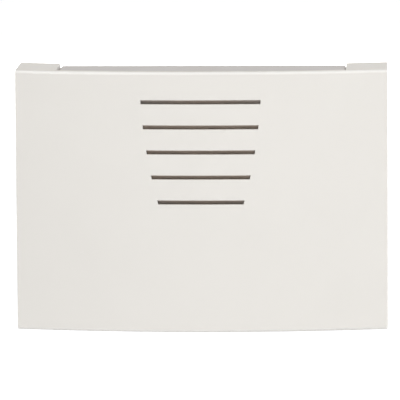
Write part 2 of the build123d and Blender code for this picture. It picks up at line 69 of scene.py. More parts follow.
def middle_of(node):
    """The middle of a node's box at rest, in millimetres."""
    return [(low + high) / 2 for low, high in zip(*measured(node))]


# The two striking axes run along X through the middles of the spools
AXIS_Y = middle_of("front_bobbin")[1]
FRONT_Z = middle_of("front_bobbin")[2]
REAR_Z = middle_of("rear_bobbin")[2]
AXES = (("front", FRONT_Z), ("rear", REAR_Z))

# Camera, fitted to the photograph's outer edges, shoulders and slots. Angles are in degrees.
CAMERA_AZIMUTH, CAMERA_ELEVATION, CAMERA_DISTANCE = 2.29, 7.64, 2.554
CAMERA_YAW, CAMERA_PITCH, CAMERA_ROLL = -0.0550, -0.1152, -0.3336
FOCAL_PX, FRAME_PX, SENSOR = 4677.0, 400.0, 36.0
CLIP_START, CLIP_END = 0.05, 30.0


def direction(azimuth, elevation):
    """The way from the middle of the scene, where azimuth 0 is the front and 90 the right."""
    a, e = math.radians(azimuth), math.radians(elevation)
    return Vector((math.sin(a) * math.cos(e), -math.cos(a) * math.cos(e), math.sin(e)))


def make_camera():
    """Aims at the middle of the scene, then turns by a small yaw, pitch and roll."""
    azimuth = math.radians(CAMERA_AZIMUTH)
    yaw, pitch, roll = (math.radians(a) for a in (CAMERA_YAW, CAMERA_PITCH, CAMERA_ROLL))
    back = direction(CAMERA_AZIMUTH, CAMERA_ELEVATION)
    right = Vector((math.cos(azimuth), math.sin(azimuth), 0))
    up = right.cross(-back)
    ahead = (-back + math.tan(yaw) * right + math.tan(pitch) * up).normalized()
    right = ahead.cross(up).normalized()
    up = right.cross(ahead)
    turned_right = right * math.cos(roll) + up * math.sin(roll)
    turned_up = -right * math.sin(roll) + up * math.cos(roll)
    data = bpy.data.cameras.new("camera")
    data.sensor_width = SENSOR
    data.lens = FOCAL_PX / FRAME_PX * SENSOR
    data.clip_start, data.clip_end = CLIP_START, CLIP_END
    camera = bpy.data.objects.new("camera", data)
    columns = Matrix((turned_right, turned_up, -ahead)).transposed().to_4x4()
    camera.matrix_world = Matrix.Translation(back * CAMERA_DISTANCE) @ columns
    bpy.context.scene.collection.objects.link(camera)
    bpy.context.scene.camera = camera


# Node helpers for the procedural materials
def new_node(tree, kind, **values):
    """A node with sockets or settings filled in. An underscore may stand for a socket's space."""
    node = tree.nodes.new(kind)
    for key, value in values.items():
        socket = node.inputs.get(key.replace("_", " "))
        if socket is not None:
            socket.default_value = value
        else:
            setattr(node, key, value)
    return node


def noise(tree, scale, detail, stretch=(1, 1, 1), roughness=0.5):
    """Noise over the object's own coordinates. A stretch below 1 draws it out along that axis."""
    where = new_node(tree, "ShaderNodeTexCoord")
    place = new_node(tree, "ShaderNodeMapping", Scale=stretch)
    cells = new_node(tree, "ShaderNodeTexNoise", Scale=scale, Detail=detail, Roughness=roughness)
    tree.links.new(where.outputs["Object"], place.inputs["Vector"])
    tree.links.new(place.outputs["Vector"], cells.inputs["Vector"])
    return cells.outputs["Fac"]


def spread(tree, value, low, high, bottom=0.0, top=1.0):
    """Maps a value from low..high to bottom..top."""
    node = new_node(
        tree, "ShaderNodeMapRange", From_Min=low, From_Max=high, To_Min=bottom, To_Max=top)
    tree.links.new(value, node.inputs["Value"])
    return node.outputs["Result"]


def calculate(tree, operation, *values):
    """The result of a Math node over one or two other nodes' outputs."""
    node = new_node(tree, "ShaderNodeMath", operation=operation)
    for socket, value in zip(node.inputs, values):
        tree.links.new(value, socket)
    return node.outputs[0]


def part_of(tree, vector, axis):
    """The X, Y or Z part of another node's vector."""
    apart = new_node(tree, "ShaderNodeSeparateXYZ")
    tree.links.new(vector, apart.inputs[0])
    return apart.outputs[axis]


def blend(tree, factor, first, second, kind="RGBA"):
    """Mixes two colours, or two numbers for kind FLOAT. Each may be another node's output."""
    node = new_node(tree, "ShaderNodeMix", data_type=kind)
    tree.links.new(factor, node.inputs["Factor"])
    socket_type = "VALUE" if kind == "FLOAT" else kind
    ends = [s for s in node.inputs if s.type == socket_type][-2:]
    for socket, value in zip(ends, (first, second)):
        if isinstance(value, bpy.types.NodeSocket):
            tree.links.new(value, socket)
        else:
            socket.default_value = value if kind == "FLOAT" else (*value, 1)
    return next(s for s in node.outputs if s.type == socket_type)


def overlay(material, name, factor, value):
    """Blends a value over what already reaches one of the shader's sockets."""
    tree = material.node_tree
    end = tree.nodes["Principled BSDF"].inputs[name]
    kind = "RGBA" if end.type == "RGBA" else "FLOAT"
    before = end.links[0].from_socket
    tree.links.new(blend(tree, factor, before, value, kind), end)


def bump(tree, height, distance, strength, under=None):
    """A normal raised by height, on top of the normal under it."""
    node = new_node(tree, "ShaderNodeBump", Strength=strength, Distance=distance)
    tree.links.new(height, node.inputs["Height"])
    if under is not None:
        tree.links.new(under, node.inputs["Normal"])
    return node.outputs["Normal"]


# What all materials share: clouds of colour and of gloss, a fine relief and a slow wave
CLOUD_DETAIL, CLOUD_ROUGHNESS = 2.0, 0.4
CLOUD_ENDS = (0.2, 0.8)
GLOSS_SCALE = 2.3
RELIEF_DETAIL, RELIEF_STRENGTH = 2.0, 0.6
WAVE_SCALE, WAVE_DETAIL = 0.6, 1.0
WAVE_HEIGHT, WAVE_STRENGTH = 6, 0.25


def surface(name, dark, light, patch, rough, grain, height, stretch=(1, 1, 1), **shader):
    """A material with uneven colour, uneven gloss and a fine relief.

    dark and light are the two ends of its colour, patch the scale of the unevenness, rough the
    range of its roughness, grain the scale of the relief and height the relief's depth. stretch
    draws the marks out along an axis, and the rest is set on the shader's own sockets."""
    material = bpy.data.materials.new(name)
    material.use_nodes = True
    tree = material.node_tree
    principled = tree.nodes["Principled BSDF"]
    clouds = noise(tree, patch, CLOUD_DETAIL, stretch, CLOUD_ROUGHNESS)
    colour = blend(tree, spread(tree, clouds, *CLOUD_ENDS), dark, light)
    tree.links.new(colour, principled.inputs["Base Color"])
    clouds = noise(tree, patch * GLOSS_SCALE, CLOUD_DETAIL, stretch, CLOUD_ROUGHNESS)
    tree.links.new(spread(tree, clouds, *CLOUD_ENDS, *rough), principled.inputs["Roughness"])
    relief = bump(tree, noise(tree, grain, RELIEF_DETAIL, stretch), height, RELIEF_STRENGTH)
    swell = noise(tree, patch * WAVE_SCALE, WAVE_DETAIL)
    wave = bump(tree, swell, height * WAVE_HEIGHT, WAVE_STRENGTH, relief)
    tree.links.new(wave, principled.inputs["Normal"])
    for key, value in shader.items():
        principled.inputs[key.replace("_", " ")].default_value = value
    return material


BRUSHED_Z = (1, 1, 0.03)
BRUSHED_X = (0.03, 1, 1)
WOVEN_X = (0.2, 1, 1)
WIRE_COAT = dict(patch=150, rough=(0.34, 0.46), grain=2600, height=0.00003)
LOOKS = {
    "cover_plastic": dict(
        dark=(0.796, 0.772, 0.732), light=(0.810, 0.786, 0.746),
        patch=26, rough=(0.285, 0.325), grain=2600, height=0.000008),
    "tray_plastic": dict(
        dark=(0.630, 0.592, 0.566), light=(0.666, 0.627, 0.599),
        patch=30, rough=(0.42, 0.52), grain=2200, height=0.00004),
    "bar_steel": dict(
        dark=(0.56, 0.55, 0.53), light=(0.68, 0.675, 0.66), Metallic=1.0,
        patch=260, rough=(0.24, 0.38), grain=3000, height=0.00003, stretch=BRUSHED_Z),
    "grommet_rubber": dict(
        dark=(0.030, 0.030, 0.031), light=(0.060, 0.058, 0.056),
        patch=160, rough=(0.62, 0.8), grain=2600, height=0.00005),
    "pin_steel": dict(
        dark=(0.52, 0.52, 0.51), light=(0.66, 0.655, 0.64), Metallic=1.0,
        patch=400, rough=(0.2, 0.34), grain=4000, height=0.00002, stretch=BRUSHED_X),
    "frame_steel": dict(
        dark=(0.50, 0.505, 0.50), light=(0.64, 0.64, 0.61), Metallic=1.0,
        patch=110, rough=(0.3, 0.46), grain=1800, height=0.00004),
    "bobbin_nylon": dict(
        dark=(0.74, 0.70, 0.60), light=(0.81, 0.78, 0.69),
        patch=90, rough=(0.38, 0.5), grain=2000, height=0.00003),
    "winding_copper": dict(
        dark=(0.36, 0.115, 0.040), light=(0.56, 0.215, 0.085), Metallic=0.75, Coat_Weight=0.5,
        patch=300, rough=(0.24, 0.4), grain=3000, height=0.00003),
    "plunger_steel": dict(
        dark=(0.50, 0.50, 0.495), light=(0.60, 0.60, 0.59), Metallic=1.0,
        patch=300, rough=(0.2, 0.34), grain=3600, height=0.00002, stretch=BRUSHED_X),
    "striker_nylon": dict(
        dark=(0.78, 0.75, 0.68), light=(0.84, 0.82, 0.76),
        patch=120, rough=(0.26, 0.36), grain=2400, height=0.00002),
    "spring_steel": dict(
        dark=(0.44, 0.44, 0.45), light=(0.60, 0.60, 0.60), Metallic=1.0,
        patch=500, rough=(0.22, 0.34), grain=5000, height=0.00001),
    "felt": dict(
        dark=(0.16, 0.185, 0.165), light=(0.27, 0.29, 0.265), Sheen_Weight=0.5,
        patch=700, rough=(0.9, 1.0), grain=3000, height=0.0003),
    "board_plastic": dict(
        dark=(0.045, 0.045, 0.047), light=(0.085, 0.083, 0.08),
        patch=130, rough=(0.38, 0.52), grain=2400, height=0.00004),
    "terminal_brass": dict(
        dark=(0.62, 0.44, 0.17), light=(0.78, 0.60, 0.29), Metallic=1.0,
        patch=170, rough=(0.2, 0.36), grain=3000, height=0.00002),
    "screw_steel": dict(
        dark=(0.52, 0.51, 0.48), light=(0.68, 0.67, 0.63), Metallic=1.0,
        patch=360, rough=(0.24, 0.4), grain=3600, height=0.00002),
    "lead_red": dict(dark=(0.46, 0.030, 0.026), light=(0.60, 0.055, 0.045), **WIRE_COAT),
    "lead_white": dict(dark=(0.74, 0.73, 0.70), light=(0.81, 0.80, 0.77), **WIRE_COAT),
    "lead_green": dict(dark=(0.035, 0.22, 0.075), light=(0.06, 0.31, 0.12), **WIRE_COAT),
    "coil_tape": dict(
        dark=(0.60, 0.53, 0.36), light=(0.71, 0.65, 0.48),
        patch=240, rough=(0.68, 0.82), grain=1500, height=0.00008, stretch=WOVEN_X),
    "solder": dict(
        dark=(0.52, 0.52, 0.52), light=(0.70, 0.70, 0.69), Metallic=1.0,
        patch=700, rough=(0.18, 0.34), grain=3000, height=0.00004),
}
MATERIALS = {name: surface(name, **look) for name, look in LOOKS.items()}

# The part of a noise's range that is spread over a whole blend
PATCHY = (0.3, 0.7)

# A warmer tint on the inside of the tray, an oval patch behind the slots. It is full within a
# share of its reach, and fades inside the back plate, so the wall's side stays clean.
TINT_CENTRE, TINT_REACH = (0, -20, 22), (62, 80, 48)
TINT_COLOURS = ((0.70, 0.56, 0.465), (0.77, 0.625, 0.525))
TINT_FULL = 0.58
TINT_FADE_START, TINT_FADE_END = -2.2, -1.2
STREAK_SCALE, STREAK_DETAIL, STREAK_STRETCH = 60, 3.0, (1, 1, 0.5)


def tint_behind_slots(material):
    """A warm, streaky tint on what lies behind the slots."""
    tree = material.node_tree
    where = new_node(tree, "ShaderNodeTexCoord").outputs["Object"]
    place = new_node(
        tree, "ShaderNodeMapping",
        Location=[-c / r for c, r in zip(TINT_CENTRE, TINT_REACH)],
        Scale=[1 / (r * MM) for r in TINT_REACH])
    tree.links.new(where, place.inputs["Vector"])
    length = new_node(tree, "ShaderNodeVectorMath", operation="LENGTH")
    tree.links.new(place.outputs["Vector"], length.inputs[0])
    near = spread(tree, length.outputs["Value"], TINT_FULL, 1.0, 1.0, 0.0)
    depth = part_of(tree, where, "Y")
    inside = spread(tree, depth, TINT_FADE_START * MM, TINT_FADE_END * MM, 1.0, 0.0)
    streaks = spread(tree, noise(tree, STREAK_SCALE, STREAK_DETAIL, STREAK_STRETCH), *PATCHY)
    tint = blend(tree, streaks, *TINT_COLOURS)
    overlay(material, "Base Color", calculate(tree, "MULTIPLY", near, inside), tint)


# The painted highlight on rounded edges, told from how far a face leans up or down from upright
EDGE_HIGHLIGHT_COLOUR, EDGE_HIGHLIGHT_ROUGHNESS = (0.905, 0.885, 0.85), 0.25
HIGHLIGHT_RISE, HIGHLIGHT_FALL = (0.04, 0.36), (0.74, 0.97)


def paint_edge_highlight(material):
    """Paints a highlight on rounded edges that lean between upright and flat, such as the upper
    and lower front edges: a paler colour and a smoother gloss there.
    """
    tree = material.node_tree
    facing = new_node(tree, "ShaderNodeNewGeometry")
    slope = calculate(tree, "ABSOLUTE", part_of(tree, facing.outputs["Normal"], "Z"))
    rise = spread(tree, slope, *HIGHLIGHT_RISE)
    fall = spread(tree, slope, *HIGHLIGHT_FALL, 1.0, 0.0)
    highlight_mask = calculate(tree, "MULTIPLY", rise, fall)
    overlay(material, "Base Color", highlight_mask, EDGE_HIGHLIGHT_COLOUR)
    overlay(material, "Roughness", highlight_mask, EDGE_HIGHLIGHT_ROUGHNESS)


# The dust on faces that look straight up, and the least share of it that lies anywhere there
DUST_COLOUR, DUST_LEAST = (0.820, 0.765, 0.680), 0.55
DUST_SLOPE = (0.9, 0.99)
DUST_SCALE, DUST_DETAIL = 70, 4.0


def settle_dust(material):
    """Dust and light have warmed the faces that look straight up, in some places more."""
    tree = material.node_tree
    facing = new_node(tree, "ShaderNodeNewGeometry")
    flat = spread(tree, part_of(tree, facing.outputs["Normal"], "Z"), *DUST_SLOPE)
    drift = spread(tree, noise(tree, DUST_SCALE, DUST_DETAIL), *PATCHY, DUST_LEAST, 1.0)
    overlay(material, "Base Color", calculate(tree, "MULTIPLY", flat, drift), DUST_COLOUR)


tint_behind_slots(MATERIALS["tray_plastic"])
# A painted highlight along the cover's rounded edges
paint_edge_highlight(MATERIALS["cover_plastic"])
settle_dust(MATERIALS["cover_plastic"])

SLOTS = {part["node"]: part["material_slot"] for part in frame["record"]["subparts"]}
for name, material_slot in SLOTS.items():
    nodes[name].material_slots[0].material = MATERIALS[material_slot]


# Mesh helpers. Coordinates come in millimetres and are kept in metres.
def piece(name, points, faces, slot, *, crease, replaces=(), material=None):
    """A smooth mesh on the fixed body, with edges sharper than crease degrees kept sharp."""
    mesh = bpy.data.meshes.new(name)
    mesh.from_pydata([[c * MM for c in p] for p in points], [], faces)
    mesh.validate()
    mesh.polygons.foreach_set("use_smooth", [True] * len(mesh.polygons))
    mesh.set_sharp_from_angle(angle=math.radians(crease))
    mesh.materials.append(MATERIALS[material or slot])
    made = bpy.data.objects.new(name, mesh)
    bpy.context.scene.collection.objects.link(made)
    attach(made, FIXED_BODY)
    if replaces:
        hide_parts(*replaces)
    return made


def around(x, radius, angle, z):
    """A point about the striking axis at height z."""
    return (x, AXIS_Y + radius * math.cos(angle), z + radius * math.sin(angle))


def around_from_top(x, radius, angle, z):
    """A point about the line along X at height z, with the angle taken from straight up."""
    return (x, AXIS_Y + radius * math.sin(angle), z + radius * math.cos(angle))


def swept(points, radius, sides):
    """A tube along points, with capped ends, from frames carried along without twist."""
    points = [Vector(p) for p in points]
    count = len(points)
    ways = []
    for i in range(count):
        before, after = points[max(i - 1, 0)], points[min(i + 1, count - 1)]
        ways.append((after - before).normalized())
    side = ways[0].orthogonal().normalized()
    rings = []
    for i in range(count):
        if i:
            side = (side - ways[i] * side.dot(ways[i])).normalized()
        across = ways[i].cross(side)
        rings.append([
            points[i] + (side * math.cos(a) + across * math.sin(a)) * radius
            for a in (2 * math.pi * k / sides for k in range(sides))
        ])
    verts = [tuple(v) for ring in rings for v in ring]
    faces = []
    for i in range(count - 1):
        for k in range(sides):
            a, b = i * sides + k, i * sides + (k + 1) % sides
            faces.append((a, b, b + sides, a + sides))
    faces.append(tuple(reversed(range(sides))))
    faces.append(tuple(range((count - 1) * sides, count * sides)))
    return verts, faces


def turned(profile, place, way, sides, wobble=None):
    """A closed ring of (along, radius) points turned about an axis through place along way.

    wobble gives how much a radius grows, from the angle, the place along and the radius."""
    place, way = Vector(place), Vector(way).normalized()
    side = way.orthogonal().normalized()
    across = way.cross(side)
    verts, faces = [], []
    count = len(profile)
    for k in range(sides):
        a = 2 * math.pi * k / sides
        out = side * math.cos(a) + across * math.sin(a)
        for along, radius in profile:
            grow = wobble(a, along, radius) if wobble else 0.0
            verts.append(tuple(place + way * along + out * (radius + grow)))
    for k in range(sides):
        n = (k + 1) % sides
        for j in range(count):
            m = (j + 1) % count
            faces.append((k * count + j, k * count + m, n * count + m, n * count + j))
    return verts, faces


def ring_faces(count, sides, flip):
    """Faces between loops of count points, sides of them in a closed ring."""
    faces = []
    for k in range(sides):
        n = (k + 1) % sides
        for j in range(count):
            m = (j + 1) % count
            face = (k * count + j, n * count + j, n * count + m, k * count + m)
            faces.append(tuple(reversed(face)) if flip else face)
    return faces


def slab(upper, lower):
    """A closed solid between two grids of points of the same size."""
    rows, columns = len(upper), len(upper[0])
    verts = [p for grid in (upper, lower) for row in grid for p in row]
    under = rows * columns
    faces = []
    for i in range(rows - 1):
        for j in range(columns - 1):
            a = i * columns + j
            faces.append((a, a + 1, a + columns + 1, a + columns))
            faces.append(tuple(under + v for v in (a, a + columns, a + columns + 1, a + 1)))
    edge = list(range(columns))
    edge += [i * columns + columns - 1 for i in range(1, rows)]
    edge += [(rows - 1) * columns + j for j in range(columns - 2, -1, -1)]
    edge += [i * columns for i in range(rows - 2, 0, -1)]
    for a, b in zip(edge, edge[1:] + edge[:1]):
        faces.append((b, a, a + under, b + under))
    return verts, faces


def joined(*parts):
    """Several (points, faces) pairs as one."""
    verts, faces = [], []
    for part_verts, part_faces in parts:
        start = len(verts)
        verts += part_verts
        faces += [tuple(i + start for i in f) for f in part_faces]
    return verts, faces


# Return springs, each between its plunger's collar and its spool: six open turns, and a closed
# turn at each end
SPRING_WIRE, SPRING_RADIUS = 0.3, 4.9
SPRING_GAP, CLOSED_GAP = 0.1, 0.12
CLOSED_TURNS, OPEN_TURNS = 1.0, 6.0
STEPS_PER_TURN, SPRING_SIDES = 40, 12


def make_spring(label, z):
    """A coil spring between its plunger's collar and its spool, made as it lies at rest."""
    collar_x = measured(label + "_plunger")[0][0]
    spool_x = measured(label + "_bobbin")[0][0]
    start = collar_x + SPRING_WIRE + SPRING_GAP
    end = spool_x - SPRING_WIRE - SPRING_GAP
    turns = OPEN_TURNS + 2 * CLOSED_TURNS
    closed_pitch = 2 * SPRING_WIRE + CLOSED_GAP
    open_length = end - start - 2 * CLOSED_TURNS * closed_pitch
    points = []
    for i in range(int(turns * STEPS_PER_TURN) + 1):
        turn = i / STEPS_PER_TURN
        if turn < CLOSED_TURNS:
            x = start + turn * closed_pitch
        elif turn > CLOSED_TURNS + OPEN_TURNS:
            x = end - (turns - turn) * closed_pitch
        else:
            share = (turn - CLOSED_TURNS) / OPEN_TURNS
            x = start + CLOSED_TURNS * closed_pitch + share * open_length
        points.append(around(x, SPRING_RADIUS, 2 * math.pi * turn, z))
    verts, faces = swept(points, SPRING_WIRE, SPRING_SIDES)
    spring = piece(label + "_spring_coils", verts, faces, "spring_steel", crease=60,
                   replaces=[label + "_plunger_spring"])
    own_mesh(spring)


# Coil windings: fine wire laid turn by turn, slumped a little where it was laid unevenly
WINDING_CORE, WINDING_OUTER, WIRE_PITCH = 5.65, 8.5, 0.42
WINDING_SIDES, STEPS_PER_PITCH = 72, 6


def wire_radius(x, angle):
    """The winding's outside at x and an angle: the round of a wire, raised by two slow waves."""
    phase = (x / WIRE_PITCH - angle / (2 * math.pi)) % 1.0
    ridge = math.sqrt(max(0.0, 1 - (2 * phase - 1) ** 2)) * WIRE_PITCH * 0.5
    slump = 0.10 * math.sin(x * 0.55 + 1.3 * math.sin(angle))
    slump += 0.05 * math.sin(2 * angle + x * 0.2)
    return WINDING_OUTER - WIRE_PITCH * 0.5 + ridge + slump


def make_winding(label, z):
    """A closed sleeve with every turn of the wire in relief."""
    half = measured(label + "_coil_winding")[1][0]
    count = int(2 * half / WIRE_PITCH * STEPS_PER_PITCH)
    angles = [2 * math.pi * k / WINDING_SIDES for k in range(WINDING_SIDES)]
    verts, faces = [], []
    for angle in angles:
        for j in range(count + 1):
            x = -half + 2 * half * j / count
            verts.append(around(x, wire_radius(x, angle), angle, z))
    row = count + 1
    core = len(verts)
    for angle in angles:
        verts += [around(x, WINDING_CORE, angle, z) for x in (-half, half)]
    following = [(k, (k + 1) % WINDING_SIDES) for k in range(WINDING_SIDES)]
    for k, n in following:
        for j in range(count):
            faces.append((k * row + j, n * row + j, n * row + j + 1, k * row + j + 1))
    for k, n in following:
        near_k, near_n = core + 2 * k, core + 2 * n
        faces.append((n * row, k * row, near_k, near_n))
        faces.append((k * row + count, n * row + count, near_n + 1, near_k + 1))
        faces.append((near_k, near_k + 1, near_n + 1, near_n))
    piece(label + "_wire_turns", verts, faces, "winding_copper", crease=80,
          replaces=[label + "_coil_winding"])


# The tape that holds each lead's end down on its winding, like a tent over the wire
TAPE_NEAR, TAPE_FAR, TAPE_RADIUS, TAPE_THICKNESS = 6.2, 13.8, 8.8, 0.22
TAPE_STEPS, TAPE_ROWS = 96, 12
TENT_HEIGHT, TENT_ANGLE = 1.68, 0.17
TAPE_RAGGED, TAPE_CREASE = 0.10, 0.035


def tape_loop(angle, side):
    """The tape's outline across its width at an angle from the top: (x, radius) points."""
    turn = angle if angle < math.pi else angle - 2 * math.pi
    tent = TENT_HEIGHT * math.exp(-(turn / TENT_ANGLE) ** 2)
    loop = []
    for j in range(TAPE_ROWS + 1):
        x = TAPE_NEAR + (TAPE_FAR - TAPE_NEAR) * j / TAPE_ROWS
        at_edge = j in (0, TAPE_ROWS)
        ragged = TAPE_RAGGED * math.sin(3 * angle + 2 * side) if at_edge else 0.0
        crease = TAPE_CREASE * math.sin(9 * angle + 1.7 * x) * math.sin(2.3 * x + angle)
        loop.append((x + ragged, TAPE_RADIUS + tent + crease))
    return loop + [(x, r - TAPE_THICKNESS) for x, r in reversed(loop)]


def make_tape(label, z):
    """A band round the winding on either side of its middle."""
    parts = []
    for side in (-1, 1):
        verts = []
        for k in range(TAPE_STEPS):
            angle = 2 * math.pi * k / TAPE_STEPS
            loop = tape_loop(angle, side)
            verts += [around_from_top(side * x, r, angle, z) for x, r in loop]
        faces = ring_faces(len(verts) // TAPE_STEPS, TAPE_STEPS, flip=side > 0)
        parts.append((verts, faces))
    piece(label + "_coil_tape", *joined(*parts), "bobbin_nylon", crease=50,
          material="coil_tape")


# Coil leads: insulated wire along the lanes, pressed between the guide pegs, bare at the tabs.
# lane is the upright lane's distance from the middle, row the height of the level stretch
# behind the tabs and end_x the tab's place.
LEADS = (
    dict(name="front_coil_lead_left", side=-1, axis_z=FRONT_Z, lane=50.0, row=62.1, end_x=-13.0),
    dict(name="front_coil_lead_right", side=1, axis_z=FRONT_Z, lane=50.0, row=62.1, end_x=1.5),
    dict(name="rear_coil_lead_left", side=-1, axis_z=REAR_Z, lane=54.0, row=63.8, end_x=-1.5),
    dict(name="rear_coil_lead_right", side=1, axis_z=REAR_Z, lane=54.0, row=63.8, end_x=13.0),
)
LEAD_RADIUS, LEAD_FLOOR, STRIPPED = 0.6, -3.3, -9.9
OVER_COIL, DESCENT_X = 9.8, 34.5
SWAY_FRONT, SWAY_REAR = 0.42, -0.38


def lead_points(side, axis_z, lane, row, end_x):
    """The wire's control points, with the slack of a hand that laid it."""
    top = axis_z + OVER_COIL
    sway = SWAY_FRONT if axis_z == FRONT_Z else SWAY_REAR
    lane *= side
    foot = side * DESCENT_X
    return [
        (side * 8.5, AXIS_Y, top),
        (side * 15.0, AXIS_Y, top),
        (side * 21.5, AXIS_Y + 0.2 * side, top + 0.12),
        (side * 27.5, AXIS_Y, top),
        (foot, AXIS_Y, top),
        (foot + 0.3 * side, -13.0, top - 0.5 * sway),
        (foot, -10.3, top),
        (foot, LEAD_FLOOR, top),
        (foot + side * 6.5, LEAD_FLOOR, top + 0.2),
        (lane - side * 7.0, LEAD_FLOOR, top - 0.2),
        (lane, LEAD_FLOOR, top),
        (lane, LEAD_FLOOR, top + 7.0),
        (lane + 0.3 * sway, LEAD_FLOOR, -3.0),
        (lane + sway, LEAD_FLOOR + 0.15, 7.5),
        (lane - 0.2 * sway, LEAD_FLOOR, 19.0),
        (lane - 1.3 * sway, LEAD_FLOOR, 29.0),
        (lane + 0.4 * sway, LEAD_FLOOR, 41.0),
        (lane + 0.8 * sway, LEAD_FLOOR + 0.1, 48.0),
        (lane, LEAD_FLOOR, row - 7.0),
        (lane, LEAD_FLOOR, row),
        (lane - side * 7.0, LEAD_FLOOR, row),
        ((lane + end_x) / 2, LEAD_FLOOR - 0.1, row + 0.3 * sway),
        (end_x + side * 7.0, LEAD_FLOOR, row),
        (end_x, LEAD_FLOOR, row),
        (end_x, LEAD_FLOOR - 3.5, row),
        (end_x, STRIPPED, row),
    ]


def make_lead(name, **route):
    """A wire curve along the lead's route, in the colour of its CAD node."""
    points = lead_points(**route)
    curve = bpy.data.curves.new(name + "_wire", "CURVE")
    curve.dimensions = "3D"
    curve.bevel_depth = LEAD_RADIUS * MM
    curve.bevel_resolution = 4
    curve.resolution_u = 10
    curve.use_fill_caps = True
    spline = curve.splines.new("NURBS")
    spline.points.add(len(points) - 1)
    for point, place in zip(spline.points, points):
        point.co = (*[c * MM for c in place], 1)
    spline.order_u = 3
    spline.use_endpoint_u = True
    curve.materials.append(MATERIALS[SLOTS[name]])
    wire = bpy.data.objects.new(name + "_wire", curve)
    bpy.context.scene.collection.objects.link(wire)
    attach(wire, FIXED_BODY)
    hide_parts(name)


# Solder on the tabs. The profiles are (distance from the wall, radius) points.
TAB_FRONT, TAB_BACK = (-corner[1] for corner in measured("terminal_plates"))
SOLDER_BEHIND = (
    (-STRIPPED - 0.3, 0.0), (-STRIPPED - 0.3, 0.34), (11.3, 0.36), (11.75, 0.42), (12.1, 0.56),
    (12.4, 0.82), (TAB_BACK + 0.1, 1.0), (TAB_BACK + 0.1, 0.0),
)
SOLDER_BEFORE = (
    (TAB_FRONT - 0.1, 0.0), (TAB_FRONT - 0.1, 1.0), (TAB_FRONT + 0.12, 0.93),
    (TAB_FRONT + 0.3, 0.72), (TAB_FRONT + 0.42, 0.40), (TAB_FRONT + 0.46, 0.0),
)
SOLDER_UNEVEN, SOLDER_SIDES = 0.07, 28


def solder_lump(number, angle, along, radius):
    """How far the solder on tab number bulges or sinks."""
    return SOLDER_UNEVEN * radius * math.sin(2 * angle + number + along)


def make_solder():
    """The bare end of each lead in its solder, behind the tab, and a drop on the tab's front."""
    parts = []
    for number, lead in enumerate(LEADS):
        place, lump = (lead["end_x"], 0, lead["row"]), partial(solder_lump, number)
        for profile in (SOLDER_BEHIND, SOLDER_BEFORE):
            parts.append(turned(profile, place, (0, -1, 0), SOLDER_SIDES, lump))
    piece("tab_solder_drops", *joined(*parts), "pin_steel", crease=60, material="solder")


# Tone bars: each hangs on its side of the box at two heights, where a freely ringing bar
# stands still, a share of its length from either end
STILL_SHARE = 0.224


def hanging(bar):
    """The heights of a bar's two grommets."""
    low, high = (corner[2] for corner in measured(bar))
    inset = STILL_SHARE * (high - low)
    return round(low + inset, 3), round(high - inset, 3)


BARS = (
    dict(label="low", side=-1, levels=hanging("low_tone_bar")),
    dict(label="high", side=1, levels=hanging("high_tone_bar")),
)

# Rubber grommets with rounded lips that end just short of the bar. GROMMET_LIP holds how far
# each point lies from the end face and below the rim.
GROMMET_BORE, GROMMET_WAIST, GROMMET_RIM = 2.2, 3.95, 6.0
GROMMET_LIP = ((0.0, 0.60), (0.10, 0.28), (0.34, 0.07), (0.85, 0.0), (1.40, 0.05), (1.78, 0.26))
LIP_ROUND, BAR_GAP = 0.6, 0.06
GROMMET_UNEVEN, UNEVEN_DEPTH, GROMMET_SIDES = 0.05, 0.3, 64


def grommet_lump(number, angle, along, radius):
    """How far the rim of a bar's grommet number has softened out of round."""
    at_rim = radius > GROMMET_RIM - UNEVEN_DEPTH
    return GROMMET_UNEVEN * math.sin(angle + number) if at_rim else 0.0


def make_grommets(label, side, levels):
    """A bar's two grommets, a flange on either side of the bar and a waist through its hole."""
    inner, outer = sorted(abs(corner[0]) for corner in measured(label + "_bar_grommets"))
    lip_end = min(abs(corner[0]) for corner in measured(label + "_tone_bar")) - BAR_GAP
    bore, rim = GROMMET_BORE, GROMMET_RIM
    half = [(inner + 0.45, bore), (inner + 0.1, bore + 0.12), (inner, bore + 0.4)]
    half += [(inner + x, rim - r) for x, r in GROMMET_LIP]
    half += [(lip_end, rim - LIP_ROUND), (lip_end, GROMMET_WAIST)]
    profile = half + [(inner + outer - x, r) for x, r in reversed(half)]
    parts = []
    for number, z in enumerate(levels):
        place, lump = (0, AXIS_Y, z), partial(grommet_lump, number)
        parts.append(turned(profile, place, (side, 0, 0), GROMMET_SIDES, lump))
    piece(label + "_bar_grommet_pair", *joined(*parts), "grommet_rubber", crease=50,
          replaces=[label + "_bar_grommets"])


# Push-on retainers: a flat rim and eight sprung teeth that bite the pin. The rim's points are
# (distance from the middle of the box, radius). A tooth runs from its root, at the rim, inwards.
RETAINER_RIM = (
    (59.25, 3.30), (59.25, 4.34), (59.38, 4.48), (59.64, 4.48), (59.78, 4.34), (59.78, 3.30),
)
RIM_SIDES = 56
TEETH, TOOTH_ROWS, TOOTH_COLUMNS = 8, 6, 5
TOOTH_THICKNESS, TOOTH_BACK = 0.42, 59.74
TOOTH_ROOT, TOOTH_REACH = 3.45, 1.41
TOOTH_BEND, TOOTH_CURVE = 1.25, 1.25
TOOTH_HALF_ANGLE, TOOTH_TAPER = 17.5, 2.5


def tooth_face(side, z, middle, shift):
    """One face of a tooth, which bends away from its grommet and narrows towards the pin."""
    grid = []
    for i in range(TOOTH_ROWS):
        share = i / (TOOTH_ROWS - 1)
        r = TOOTH_ROOT - TOOTH_REACH * share
        x = TOOTH_BACK - TOOTH_THICKNESS - TOOTH_BEND * share ** TOOTH_CURVE + shift
        half = math.radians(TOOTH_HALF_ANGLE - TOOTH_TAPER * share)
        across = (2 * j / (TOOTH_COLUMNS - 1) - 1 for j in range(TOOTH_COLUMNS))
        grid.append([around_from_top(side * x, r, middle + half * s, z) for s in across])
    return grid


